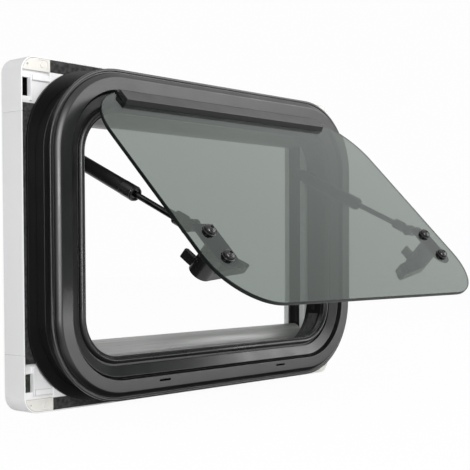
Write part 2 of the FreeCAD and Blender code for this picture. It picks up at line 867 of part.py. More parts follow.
def stay_collar():
    body = new_body("left_stay_collar")
    collar = cell("stay_collar_radius")
    start = cell("stay_tube_length") - cell("stay_collar_length")
    end = cell("stay_tube_length")
    bore = cell("rod_radius") + cell("rod_play")
    section = [
        (start, bore),
        (end, bore),
        (end, collar - 1.2),
        (end - 1.2, collar),
        (start + 0.8, collar),
        (start, collar - 0.8),
    ]
    revolve(body, section, -STAY_ACROSS)
    return lie_along_stay(body)


def stay_rod():
    body = new_body("left_stay_rod")
    start = cell("stay_tube_length") - cell("rod_overlap")
    end = stay_geometry()[0] - cell("rod_fitting_length")
    rod = cell("rod_radius")
    revolve(body, [(start, 0), (end, 0), (end, rod), (start, rod)], -STAY_ACROSS)
    return lie_along_stay(body)


def rod_fitting():
    """Moulded end of the rod, with a flat eye beside the bracket's ear."""
    body = new_body("left_rod_fitting")
    across = -STAY_ACROSS
    length = stay_geometry()[0]
    start = length - cell("rod_fitting_length")
    neck = cell("rod_neck_radius")
    full = cell("rod_fitting_radius")
    block_end = length - full - 1.2
    revolve(body, [(start, 0), (length, 0), (length, neck), (block_end, neck), (block_end - 2.4, full - 0.2),
                   (start + 1, full - 0.2), (start, full - 1.2)], across)
    outer = across - cell("ear_reach") + cell("shoulder_gap")
    round_bar(body, length, 0, full, outer, across + full - 0.6)
    return lie_along_stay(body)


def stay_mount():
    """Left plate and pin on the jamb that carry the stay."""
    body = new_body("left_stay_mount")
    depth = cell("stay_pivot_depth")
    height = STAY_PIVOT_Z
    plate_in = -(JAMB_ACROSS - cell("mount_thickness"))
    low = height - cell("mount_drop")
    high = height + cell("mount_rise")
    plate = rounded_rectangle(depth - cell("mount_half_depth"), depth + cell("mount_half_depth"), low, high, 3)
    add_bar(body, plate, -JAMB_ACROSS, plate_in)
    eye_face = -(STAY_ACROSS + cell("stay_eye_width") / 2)
    round_bar(body, depth, height, cell("mount_boss_radius"), plate_in - 1, eye_face - cell("shoulder_gap"))
    pin_end = -(STAY_ACROSS - cell("stay_eye_width") / 2) + cell("shoulder_gap")
    round_bar(body, depth, height, cell("pin_radius"), eye_face - 2, pin_end)
    round_bar(body, depth, height, cell("pin_radius") + 1.5, pin_end, pin_end + 1.6)
    return body


def jamb_arc(height, rise):
    """Point of the left jamb's lower corner at a height, raised off the jamb."""
    bend = cell("flange_corner") - cell("jamb_inset")
    drop = CENTRE_HEIGHT - FLANGE_HALF_HEIGHT + cell("flange_corner") - height
    radius = bend - rise
    return -JAMB_ACROSS + bend - root(radius * radius - drop * drop), height


def jamb_keeper():
    """Left plate that the latch's tongue catches behind, with its screw."""
    body = new_body("left_jamb_keeper")
    bend = cell("flange_corner") - cell("jamb_inset")
    thick = cell("keeper_thickness")
    top = KEEPER_TOP
    foot = KEEPER_FOOT
    band = [
        (*jamb_arc(top, 0), (bend, 1, False)),
        jamb_arc(foot, 0),
        (*jamb_arc(foot, thick), (bend - thick, -1, False)),
        jamb_arc(top, thick),
    ]
    add_plate(body, band, cell("keeper_start"), cell("keeper_end"))
    middle = (cell("keeper_start") + cell("keeper_end")) / 2
    inner = -(JAMB_ACROSS - thick)
    round_bar(body, middle, (top + foot) / 2, cell("keeper_screw_radius"),
              inner - 0.6, inner + cell("keeper_screw_height"))
    return body


def corner_strip():
    """Left raised strip that follows the jamb round the lower corner."""
    body = new_body("left_corner_strip")
    bend = cell("flange_corner") - cell("jamb_inset")
    strip = cell("strip_rise")
    top = KEEPER_FOOT - 1
    low = CENTRE_HEIGHT - FLANGE_HALF_HEIGHT + cell("jamb_inset")
    band = [
        (*jamb_arc(top, 0), (bend, 1, False)),
        (-JAMB_ACROSS + bend, low),
        (-JAMB_ACROSS + bend, low + strip, (bend - strip, -1, False)),
        jamb_arc(top, strip),
    ]
    add_plate(body, band, cell("strip_start"), cell("strip_end"))
    return body


def side_rail():
    """Left rail of the white inner frame, with the slot for the blind."""
    body = new_body("inner_frame_left")
    outer = -INNER_HALF_WIDTH
    skin = outer + cell("inner_skin")
    back = cell("inner_back")
    rim_front = back - cell("rim_thickness")
    wall = -INNER_OPENING_ACROSS
    foam = -side_of("foam_side")
    section = [
        (outer, FRAME_FRONT),
        (skin, FRAME_FRONT),
        (skin, FOAM_BACK),
        (foam, FOAM_BACK),
        (foam, FRAME_FRONT),
        (wall, FRAME_FRONT),
        (wall, cell("strip_front")),
        (-side_of("strip_side"), cell("strip_front")),
        (-side_of("strip_side"), cell("strip_back")),
        (wall, cell("strip_back")),
        (wall, rim_front),
        (-side_of("rim_side"), rim_front),
        (-side_of("rim_side"), back),
        (outer, back),
    ]
    plan_bar(body, section, CENTRE_HEIGHT - rise_of("lower_joint"), CENTRE_HEIGHT + rise_of("upper_joint"))
    return body


def side_channel():
    """Left dark guide in which the ends of the blind run."""
    body = new_body("left_blind_channel")
    gap = cell("seat_gap")
    floor = -INNER_OPENING_ACROSS + gap
    back = cell("inner_back") - cell("rim_thickness")
    wall = cell("channel_wall")
    front = cell("strip_back") + gap
    section = [
        (floor, front),
        (floor + wall, front),
        (floor + wall, back - wall),
        (-side_of("rim_side") - 1, back - wall),
        (-side_of("rim_side") - 1, back),
        (floor, back),
    ]
    plan_bar(body, section, CENTRE_HEIGHT - rise_of("lower_joint"), CENTRE_HEIGHT + rise_of("upper_joint"))
    return body


def end_rail(label, side, rim, joint):
    """Top or bottom rail, a channel that holds the folded blind or flyscreen."""
    body = new_body(label)
    outer = INNER_HALF_HEIGHT
    back = cell("inner_back")
    rim_front = back - cell("rim_thickness")
    foam_high = outer - cell("inner_skin")
    foam_low = foam_high - cell("foam_rail_width") - cell("seat_gap")
    pack_high = rise_of("pack_outer") + cell("seat_gap")
    rim = rise_of(rim)
    section = [
        (FRAME_FRONT, outer),
        (back, outer),
        (back, rim),
        (rim_front, rim),
        (rim_front, pack_high),
        (cell("strip_front"), pack_high),
        (cell("strip_front"), INNER_OPENING_RISE),
        (FRAME_FRONT, INNER_OPENING_RISE),
        (FRAME_FRONT, foam_low),
        (FOAM_BACK, foam_low),
        (FOAM_BACK, foam_high),
        (FRAME_FRONT, foam_high),
    ]
    placed = [(depth, CENTRE_HEIGHT + height * side) for depth, height in section]
    reach = side_of("corner_side")
    add_bar(body, placed, -reach, reach)
    joint = CENTRE_HEIGHT + (rise_of(joint) + cell("seat_gap")) * side
    beyond = CENTRE_HEIGHT + (rim - 5) * side
    for end in (-1, 1):
        near = (side_of("rim_side") - cell("seat_gap")) * end
        far = (reach + 1) * end
        low, high = (beyond, joint) if side > 0 else (joint, beyond)
        left, right = (near, far) if end > 0 else (far, near)
        cut_bar(body, rectangle(rim_front - 1, back + 1, low, high), left, right)
    return body


def corner_moulding(label, side, joint):
    """Left corner of the inner frame, seen from the wall side."""
    body = new_body(label)
    outer = -INNER_HALF_WIDTH
    reach = -side_of("corner_side")
    high = INNER_HALF_HEIGHT
    bend = cell("inner_corner")
    low = rise_of(joint)
    skin = cell("inner_skin")

    def at(height):
        return CENTRE_HEIGHT + height * side

    turn = -side
    block = [
        (outer, at(low)),
        (outer, at(high - bend), (bend, turn, False)),
        (outer + bend, at(high)),
        (reach, at(high)),
        (reach, at(low)),
    ]
    add_plate(body, block, FOAM_BACK, cell("inner_back"))
    lip = [
        (outer, at(low)),
        (outer, at(high - bend), (bend, turn, False)),
        (outer + bend, at(high)),
        (reach, at(high)),
        (reach, at(high - skin)),
        (outer + bend, at(high - skin), (bend - skin, -turn, False)),
        (outer + skin, at(high - bend)),
        (outer + skin, at(low)),
    ]
    add_plate(body, lip, FRAME_FRONT, FOAM_BACK)
    shelf_low = rise_of("shelf_low")
    shelf_high = rise_of("shelf_high")
    window_edge = outer + skin + cell("window_width")
    shelf = box_outline(window_edge + 3, reach, at(shelf_low), at(shelf_high), side)
    add_plate(body, shelf, FRAME_FRONT + 0.5, FOAM_BACK)
    post = box_outline(window_edge, window_edge + 1.6, at(low + 12), at(shelf_high), side)
    add_plate(body, post, FRAME_FRONT + 0.5, FOAM_BACK)
    pack = box_outline(outer + skin, reach + 1, at(rise_of("pack_inner") - cell("seat_gap")),
                       at(rise_of("pack_outer") + cell("seat_gap")), side)
    cut_plate(body, pack, cell("strip_front"), cell("inner_back") - cell("rim_thickness"))
    mouth = box_outline(outer + skin, window_edge, at(rise_of("window_low")), at(rise_of("window_high")), side)
    cut_plate(body, mouth, FRAME_FRONT - 1, cell("strip_front") + 1)
    return body


def box_outline(left, right, first, second, side):
    low, high = (first, second) if side > 0 else (second, first)
    return rectangle(left, right, low, high)


def corner_insert(label, side):
    """Left beige plug in the corner's wall side, with its raised panel and small hole."""
    body = new_body(label)
    outer = -INNER_HALF_WIDTH + cell("inner_skin") + 0.2
    bend = cell("inner_corner") - cell("inner_skin") - 0.2
    reach = -side_of("corner_side")
    high = INNER_HALF_HEIGHT - cell("inner_skin") - 0.2
    low = high - cell("insert_height")

    def at(height):
        return CENTRE_HEIGHT + height * side

    drop = high - bend - low
    turn = -side
    edge = [
        (outer + bend - root(bend * bend - drop * drop), at(low), (bend, turn, False)),
        (outer + bend, at(high)),
        (reach, at(high)),
        (reach, at(low)),
    ]
    if drop.value > 0:
        edge = [(outer, at(low)), (outer, at(high - bend), (bend, turn, False))] + edge[1:]
    add_plate(body, edge, FRAME_FRONT, FOAM_BACK)
    hole = disc(outer + 6.5, at(low + 6), cell("insert_hole"))
    cut_plate(body, hole, FRAME_FRONT - 1, FRAME_FRONT + 2)
    panel = rounded_rectangle(outer + 19, outer + 33, *sorted_heights(at(low + 2), at(high - 1.5), side), 3)
    cut_plate(body, panel, FRAME_FRONT - 1, FRAME_FRONT + 0.8)
    boss = disc(outer + 26, at(low + 7), 2.6)
    add_plate(body, boss, FRAME_FRONT, FRAME_FRONT + 1.5)
    return body


def sorted_heights(first, second, side):
    return (first, second) if side > 0 else (second, first)


def side_foam():
    body = new_body("left_foam_strip")
    left = -INNER_HALF_WIDTH + cell("inner_skin")
    low = CENTRE_HEIGHT - rise_of("lower_joint") - 9
    high = CENTRE_HEIGHT + rise_of("upper_joint") + 9
    add_plate(body, rectangle(left, -side_of("foam_side"), low, high), FRAME_FRONT, FOAM_BACK)
    return body


def end_foam(label, side):
    body = new_body(label)
    high = INNER_HALF_HEIGHT - cell("inner_skin")
    low = high - cell("foam_rail_width")
    heights = sorted_heights(CENTRE_HEIGHT + low * side, CENTRE_HEIGHT + high * side, side)
    reach = side_of("corner_side") - cell("seat_gap")
    add_plate(body, rectangle(-reach, reach, *heights), FRAME_FRONT, FOAM_BACK)
    return body


def pull_bar(label, side, edge):
    """Rounded bar at the free end of the blind or the flyscreen, folded away."""
    body = new_body(label)
    edge = rise_of(edge)
    root_height = rise_of("pack_inner")
    front = cell("bar_front")
    back = cell("bar_back")
    low = CENTRE_HEIGHT + edge * side
    high = CENTRE_HEIGHT + root_height * side
    knee = CENTRE_HEIGHT + (edge + cell("bar_back") - cell("bar_front")) * side
    section = [
        (back, low),
        (back, high),
        (front, high),
        (front, knee, (cell("bar_round"), side, False)),
        (back - 2, low),
    ]
    half = side_of("bar_side")
    add_bar(body, section, -half, half)
    return body


def folded_pack(label, side):
    """Folded blind or flyscreen, as one block in its rail."""
    body = new_body(label)
    heights = sorted_heights(CENTRE_HEIGHT + rise_of("pack_inner") * side,
                             CENTRE_HEIGHT + rise_of("pack_outer") * side, side)
    front = cell("strip_front")
    back = cell("inner_back") - cell("rim_thickness") - 1
    half = side_of("pack_side")
    add_bar(body, rectangle(front, back, *heights), -half, half)
    return body


def foam_strips():
    side = side_foam()
    strips = [side, mirrored(side, "right_foam_strip"), end_foam("top_foam_strip", 1), end_foam("bottom_foam_strip", -1)]
    return as_set(strips, "foam_strips")


def corner_inserts():
    left = [corner_insert("top_left_insert", 1), corner_insert("bottom_left_insert", -1)]
    right = [mirrored(left[0], "top_right_insert"), mirrored(left[1], "bottom_right_insert")]
    return as_set(left + right, "corner_inserts")


def build_frame():
    """Pieces fixed to the caravan, and those that have a right-hand twin."""
    pieces = [outer_frame(), window_seal(), clamp_ring(), hinge_rail(), foam_strips(), corner_inserts()]
    pieces.append(end_rail("inner_frame_top", 1, "rim_head", "upper_joint"))
    pieces.append(end_rail("inner_frame_bottom", -1, "rim_sill", "lower_joint"))
    pieces.append(pull_bar("blind_bar", 1, "bar_head"))
    pieces.append(pull_bar("flyscreen_bar", -1, "bar_sill"))
    pieces.append(folded_pack("blind_pack", 1))
    pieces.append(folded_pack("flyscreen_pack", -1))
    left_pieces = [stay_mount(), jamb_keeper(), corner_strip(), side_rail(), side_channel()]
    left_pieces.append(corner_moulding("inner_corner_top_left", 1, "upper_joint"))
    left_pieces.append(corner_moulding("inner_corner_bottom_left", -1, "lower_joint"))
    return pieces, left_pieces


def build_flap():
    """Pieces that move, and those that have a right-hand twin."""
    places = [(side, along) for side in (-1, 1) for along in ("screw_upper", "screw_lower")]
    screws = as_set([cap_screw(*place) for place in places], "cap_screws")
    washers = as_set([screw_washer(*place) for place in places], "screw_washers")
    pieces = [pane(), hinge_profile(), screws, washers]
    pieces.append(latch("left_latch", cell("latch_rest")))
    pieces.append(mirrored(latch("upright_latch", 0), "right_latch"))
    left_pieces = [flap_bracket(), stay_tube(), stay_collar(), stay_rod(), rod_fitting()]
    return pieces, left_pieces


def main():
    frame_pieces, frame_left = build_frame()
    flap_pieces, flap_left = build_flap()
    left_pieces = frame_left + flap_left
    twins = [mirrored(piece, piece.Label.replace("left", "right")) for piece in left_pieces]
    doc.recompute()
    for item in doc.Objects:
        if "Invalid" in item.State or "Error" in item.State:
            raise RuntimeError(f"{item.Name} failed: {item.State}")
    pieces = frame_pieces + flap_pieces + left_pieces + twins
    for piece in pieces:
        shape = piece.Shape
        if shape.isNull() or not shape.isValid():
            raise RuntimeError(f"{piece.Label} has no valid solid")
        shape.exportStep(f"parts/{piece.Label}.step")
    print(len(pieces), "nodes written")


main()
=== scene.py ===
import json
import math

import bmesh
import bpy
from mathutils import Matrix, Vector


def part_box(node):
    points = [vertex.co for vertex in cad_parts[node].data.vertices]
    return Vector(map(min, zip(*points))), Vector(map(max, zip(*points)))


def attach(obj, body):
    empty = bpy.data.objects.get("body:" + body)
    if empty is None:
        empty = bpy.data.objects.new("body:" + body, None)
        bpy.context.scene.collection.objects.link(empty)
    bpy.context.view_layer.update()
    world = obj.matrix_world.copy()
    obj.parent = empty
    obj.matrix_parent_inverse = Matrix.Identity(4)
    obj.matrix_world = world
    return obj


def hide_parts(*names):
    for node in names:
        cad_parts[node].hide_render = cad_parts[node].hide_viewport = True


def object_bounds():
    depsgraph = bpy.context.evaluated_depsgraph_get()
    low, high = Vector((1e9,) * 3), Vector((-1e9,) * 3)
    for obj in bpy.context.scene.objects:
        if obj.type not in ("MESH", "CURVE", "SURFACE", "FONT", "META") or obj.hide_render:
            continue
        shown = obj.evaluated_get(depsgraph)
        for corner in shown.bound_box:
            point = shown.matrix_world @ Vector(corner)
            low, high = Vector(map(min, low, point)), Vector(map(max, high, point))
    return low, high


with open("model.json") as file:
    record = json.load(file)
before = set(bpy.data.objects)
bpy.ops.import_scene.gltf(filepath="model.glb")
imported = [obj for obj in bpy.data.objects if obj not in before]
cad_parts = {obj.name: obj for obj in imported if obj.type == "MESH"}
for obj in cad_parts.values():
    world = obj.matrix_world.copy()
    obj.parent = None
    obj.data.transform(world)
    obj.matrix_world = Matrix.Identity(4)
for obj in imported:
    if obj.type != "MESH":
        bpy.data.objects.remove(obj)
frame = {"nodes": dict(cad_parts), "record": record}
cad_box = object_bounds()

MM = 0.001
SIDES = ("left", "right")

# Half the side of a grid that is then stretched to size
HALF_UNIT = 0.5

# The camera stands left of the window and a little below its middle
CAMERA_AT = Vector((-939.55, -891.45, 161.14)) * MM
CAMERA_AZIMUTH = math.radians(-50.07)
CAMERA_ELEVATION = math.radians(1.705)
CAMERA_ROLL = math.radians(-0.18)
PICTURE_PIXELS = 470
FOCAL_PIXELS = 1054.05
AXIS_PIXEL = (286.6, 282.7)
SENSOR_WIDTH = 36
CLIP_RANGE = (0.05, 30)

# The floor lies half a millimetre under the window, and the cards on it a millimetre over its foot
FLOOR_HEIGHT = cad_box[0][2] - 0.5 * MM
OVER_FLOOR = cad_box[0][2] + 1 * MM

# Soft lamps in metres and watts: name, place, aim, size, power
LAMPS = [
    ("right_lamp", (1.3, -1.9, 0.85), (0, 0, 0.12), (1.5, 1.8), 19),
    ("upper_lamp", (1.75, -1.0, 1.25), (0, 0, 0.1), (0.9, 0.8), 9),
    ("low_lamp", (1.05, -1.7, 0.13), (0, 0, 0.05), (1.5, 0.26), 8),
    ("left_lamp", (-1.5, -1.6, 0.7), (0, 0, 0.18), (0.26, 1.8), 44),
]

# Black cards that stand round the window or lie on the floor: name, place, aim, size
CARDS = [
    ("side_card", (-1.1, 0.85, 0.3), (-0.2, 0, 0.15), (2.1, 1.6)),
    ("front_card", (-0.1, -2.2, 0.4), (-0.1, 0, 0.15), (1.5, 1.4)),
    ("right_card", (1.5, 0.15, 0.3), (0, 0.15, 0.15), (1.0, 1.0)),
    ("floor_card", (-0.9, 0.25, OVER_FLOOR), (-0.9, 0.25, 1), (1.1, 1.5)),
    # The foot card is painted shade: a black sheet just in front of the window's foot that stands in
    # for the floor's shadow there, as seen in reflections
    ("foot_shadow_card", (0.12, -0.03, OVER_FLOOR), (0.12, -0.03, 1), (0.9, 0.06)),
]

ROOM_LIGHT = 0.4
BACKDROP_LIGHT = 0.985
FLOOR_RADIUS = 6
FLOOR_SEGMENTS = 96
FLOOR_COLOUR = 0.9
FLOOR_GLOW_SHARE = 0.965
CARD_COLOUR = 0.01

# The outer frame's flange, in millimetres
FLANGE_HALF_WIDTH = 258.5
FLANGE_HALF_HEIGHT = 183.5
FLANGE_FOOT = -4.7
FLANGE_CORNER = 95
CORNER_STEPS = 20
CENTRE_HEIGHT = FLANGE_FOOT + FLANGE_HALF_HEIGHT

# Sections of (depth, inset, rounding) corners, in millimetres from the wall and the flange's edge.
# First the outer frame: rim, groove, shoulder, face, step, reveal, jamb, then back along the neck.
OUTER_FRAME_SECTION = [
    (0, 0.3, 0.3), (-2.8, 0.3, 1.1), (-2.8, 3.1, 0.7), (-1.7, 3.5, 0.2), (-1.7, 5, 0.2),
    (-3.6, 5, 1.0), (-6.3, 6.5, 3.0), (-8.6, 10.2, 0.7), (-8.6, 24, 0.5),
    (-1.2, 24.8, 0.2), (-4.2, 27.5, 0.5), (2, 39, 0.4), (3.6, 39, 0.4), (3.6, 36.5, 0.3),
    (44.5, 36.5, 0.5), (44.5, 34.5, 0), (2, 34.5, 0), (-0.4, 27, 0), (-0.4, 22, 0),
    (-6.6, 22, 0), (-6.6, 12, 0), (34.8, 12, 0), (34.8, 10, 0.8),
    (20.8, 10, 0), (20.8, 8.7, 0.6), (19.2, 8.7, 0.6), (19.2, 9.4, 0), (0, 9.4, 0.3),
]
# The rubber: root on the jamb, rounded bead, small groove, lip and heel
WINDOW_SEAL_SECTION = [
    (4.4, 36.5, 0), (4.4, 41.6, 0.3), (2.2, 42, 0.2), (-0.1, 42.9, 1.9), (-0.7, 45.2, 0.4),
    (-0.1, 47.4, 1.8), (2, 48, 0.3), (2.7, 48.4, 0.3), (1.6, 49.3, 0.4), (2.6, 50.2, 0.5),
    (7.6, 50.2, 0.6), (8.6, 49, 0.3), (8.6, 45.8, 0), (12.5, 42.4, 0), (12.5, 36.5, 0),
]
# Corners under this rounding take fewer steps, and faces deeper than the neck's start are duller
FINE_ROUNDING = 2
FINE_STEPS = 3
WIDE_STEPS = 8
NECK_START = 5

# Drain slots in the lower face: width, depth and height, then their middles and corner radius
DRAIN_SLOT = Vector((17, 10, 2.2))
DRAIN_ACROSS = 102.5
DRAIN_DEPTH = -7.6
DRAIN_HEIGHT = FLANGE_FOOT + 18.8
DRAIN_ROUNDING = 0.9

# The flap's hinge axis and opening
HINGE_AXIS = Vector((0, -11.55, 332.85)) * MM
OPEN_ANGLE = math.radians(45.6)
PANE_INWARD = Vector((0, math.cos(OPEN_ANGLE), -math.sin(OPEN_ANGLE)))
PANE_UPWARD = Vector((0, math.sin(OPEN_ANGLE), math.cos(OPEN_ANGLE)))

# Cap screws on the pane's outer skin, with half sections of (radius, height), in millimetres
SCREW_ACROSS = 194.5
SCREW_DROPS = (218.5, 254)
PANE_SKIN = -1.75
CAP_SECTION = [
    (0, 4.5), (1.9, 4.5), (1.9, 6.1), (2.5, 6.25), (3.4, 5.95), (3.9, 5.3), (4.4, 5.35),
    (5.3, 4.9), (6.1, 3.9), (6.5, 2.8), (6.5, 1.9), (6.0, 1.7), (6.0, 1.1), (0, 1.1),
]
WASHER_SECTION = [(0, 1.15), (6.2, 1.15), (6.9, 1.1), (7.4, 0.75), (7.4, 0.0), (0, 0.0)]
SCREW_STEPS = 32

# The stay's pivot on the jamb and the collar at the tube's end
STAY_PIVOT = Vector((0, 35, 264.4)) * MM
STAY_ALONG = Vector((0, -0.915156, -0.4031))
STAY_ACROSS = {"left": -195, "right": 195}
COLLAR_START = 87.2
COLLAR_SECTION = [
    (3.35, 0), (3.35, 18.6), (5.2, 18.6), (5.6, 19.2), (5.9, 20.4), (6.4, 20.8), (7.4, 20.5),
    (7.7, 19.6), (7.6, 18.9), (8.3, 18.4), (8.3, 1.4), (8.05, 0.6), (7.6, 0.2), (7.2, 0),
]
COLLAR_STEPS = 40

# Folded cloth: folds in a pack, their gap to its skins and the cloth's thickness in millimetres, and
# the shares of the pack's height where the folds start and that they fill
FOLDS = 14
FOLD_GAP = 0.6
CLOTH_THICKNESS = 0.3
FOLD_START = 0.03
FOLD_SPREAD = 0.94

# Angles in degrees: shading stays smooth under the first two, an edge is rounded over the next
# two, and faces that meet at less than the last become one
SMOOTH_UNDER = 38
SMOOTH_SCREW_UNDER = 50
ROUND_OVER = 26
ROUND_PANE_OVER = 40
FLAT_UNDER = 0.6

# Distances at which points are joined, in millimetres
JOIN_CAD = 0.002
JOIN_TURNED = 0.001
JOIN_SWEPT = 0.01

# How squarely a face lies along the pane, and how far down one under the hinge's profile looks
ALONG_PANE = 0.97
FACING_DOWN = -0.3

SLOT_OF = {part["node"]: part["material_slot"] for part in frame["record"]["subparts"]}
BODY_OF = {node: body for body, nodes in frame["record"]["behaviour"]["bodies"].items()
           for node in nodes}


def set_camera():
    """Camera at the viewing angle of the photograph."""
    flat = math.cos(CAMERA_ELEVATION)
    forward = Vector((-math.sin(CAMERA_AZIMUTH) * flat, math.cos(CAMERA_AZIMUTH) * flat,
                      -math.sin(CAMERA_ELEVATION)))
    level = Vector((math.cos(CAMERA_AZIMUTH), math.sin(CAMERA_AZIMUTH), 0))
    upright = level.cross(forward)
    right = level * math.cos(CAMERA_ROLL) + upright * math.sin(CAMERA_ROLL)
    up = upright * math.cos(CAMERA_ROLL) - level * math.sin(CAMERA_ROLL)
    lens = bpy.data.cameras.new("camera")
    lens.sensor_width = SENSOR_WIDTH
    lens.lens = FOCAL_PIXELS / PICTURE_PIXELS * SENSOR_WIDTH
    lens.shift_x = -(AXIS_PIXEL[0] - PICTURE_PIXELS / 2) / PICTURE_PIXELS
    lens.shift_y = (AXIS_PIXEL[1] - PICTURE_PIXELS / 2) / PICTURE_PIXELS
    lens.clip_start, lens.clip_end = CLIP_RANGE
    camera = bpy.data.objects.new("camera", lens)
    turn = Matrix((right, up, -forward)).transposed().to_4x4()
    camera.matrix_world = Matrix.Translation(CAMERA_AT) @ turn
    bpy.context.scene.collection.objects.link(camera)
    bpy.context.scene.camera = camera


def as_object(mesh, name):
    """A finished mesh as an object at the origin."""
    data = bpy.data.meshes.new(name)
    mesh.to_mesh(data)
    mesh.free()
    piece = bpy.data.objects.new(name, data)
    bpy.context.scene.collection.objects.link(piece)
    return piece


def facing(at, aim):
    """Turn that points something's front, its -Z, from one point to another."""
    return (Vector(aim) - Vector(at)).to_track_quat("-Z", "Y")


def grey(value):
    """A grey colour with full alpha."""
    return (value, value, value, 1)


def emptied(owner, output_kind):
    """Nodes and links of a world or material, with nothing left but an output."""
    owner.use_nodes = True
    tree = owner.node_tree
    tree.nodes.clear()
    return tree.nodes, tree.links, tree.nodes.new(output_kind)


def coloured(nodes, kind, colour):
    """A plain shader of one colour."""
    shader = nodes.new(kind)
    shader.inputs["Color"].default_value = colour
    return shader


def mixed(nodes, share, first, second):
    """The first shader where the share is 0 and the second where it is 1."""
    mix = nodes.new("ShaderNodeMixShader")
    links = mix.id_data.links
    links.new(share, mix.inputs[0])
    links.new(first.outputs[0], mix.inputs[1])
    links.new(second.outputs[0], mix.inputs[2])
    return mix.outputs[0]


def seen_plainly(nodes):
    """One where a ray comes from the camera, a reflection or a look through glass."""
    path = nodes.new("ShaderNodeLightPath")
    seen = path.outputs["Is Camera Ray"]
    for kind in ("Is Transmission Ray", "Is Glossy Ray"):
        either = nodes.new("ShaderNodeMath")
        either.operation = "MAXIMUM"
        either.id_data.links.new(seen, either.inputs[0])
        either.id_data.links.new(path.outputs[kind], either.inputs[1])
        seen = either.outputs[0]
    return seen


def soft_lamp(name, at, aim, size, power):
    """Lamp that lights and shines on surfaces, but isn't seen itself or through the pane."""
    lamp = bpy.data.lights.new(name, "AREA")
    lamp.shape = "RECTANGLE"
    lamp.size, lamp.size_y = size
    lamp.energy = power
    holder = bpy.data.objects.new(name, lamp)
    holder.location = at
    holder.rotation_euler = facing(at, aim).to_euler()
    holder.visible_camera = False
    holder.visible_transmission = False
    bpy.context.scene.collection.objects.link(holder)


def black_card(name, at, aim, size):
    """Card that only shows as a dark reflection on glossy surfaces."""
    card = bmesh.new()
    bmesh.ops.create_grid(card, x_segments=1, y_segments=1, size=HALF_UNIT)
    bmesh.ops.scale(card, vec=(*size, 1), verts=card.verts)
    turn = facing(at, aim).to_matrix().to_4x4()
    bmesh.ops.transform(card, matrix=Matrix.Translation(at) @ turn, verts=card.verts)
    holder = as_object(card, name)
    cloth = bpy.data.materials.new(name)
    nodes, links, out = emptied(cloth, "ShaderNodeOutputMaterial")
    black = coloured(nodes, "ShaderNodeBsdfDiffuse", grey(CARD_COLOUR))
    links.new(black.outputs[0], out.inputs[0])
    holder.data.materials.append(cloth)
    holder.visible_camera = False
    holder.visible_diffuse = False
    holder.visible_transmission = False
    holder.visible_shadow = False


def set_world():
    """Soft light from all round, and a white background where it is looked at."""
    world = bpy.data.worlds.new("studio")
    bpy.context.scene.world = world
    nodes, links, out = emptied(world, "ShaderNodeOutputWorld")
    room = coloured(nodes, "ShaderNodeBackground", grey(ROOM_LIGHT))
    backdrop = coloured(nodes, "ShaderNodeBackground", grey(BACKDROP_LIGHT))
    links.new(mixed(nodes, seen_plainly(nodes), room, backdrop), out.inputs[0])


def set_floor():
    """Pale floor that nearly glows away but keeps the window's shadow."""
    disc = bmesh.new()
    bmesh.ops.create_circle(disc, cap_ends=True, segments=FLOOR_SEGMENTS, radius=FLOOR_RADIUS)
    bmesh.ops.translate(disc, vec=(0, 0, FLOOR_HEIGHT), verts=disc.verts)
    floor = as_object(disc, "floor")
    finish = bpy.data.materials.new("pale_floor")
    nodes, links, out = emptied(finish, "ShaderNodeOutputMaterial")
    paper = coloured(nodes, "ShaderNodeBsdfDiffuse", grey(FLOOR_COLOUR))
    glow = coloured(nodes, "ShaderNodeEmission", grey(1))
    share = nodes.new("ShaderNodeMath")
    share.operation = "MULTIPLY"
    share.inputs[1].default_value = FLOOR_GLOW_SHARE
    links.new(seen_plainly(nodes), share.inputs[0])
    links.new(mixed(nodes, share.outputs[0], paper, glow), out.inputs[0])
    floor.data.materials.append(finish)


def set_studio():
    """White surroundings, a pale floor, large soft lamps and black cards."""
    set_world()
    set_floor()
    for lamp in LAMPS:
        soft_lamp(*lamp)
    for card in CARDS:
        black_card(*card)
    bpy.context.scene.view_settings.view_transform = "Standard"


# The part of a noise pattern's range that holds most of it, and the rays that soften an edge
PATTERN_LOW = 0.35
PATTERN_HIGH = 0.65
EDGE_SAMPLES = 6


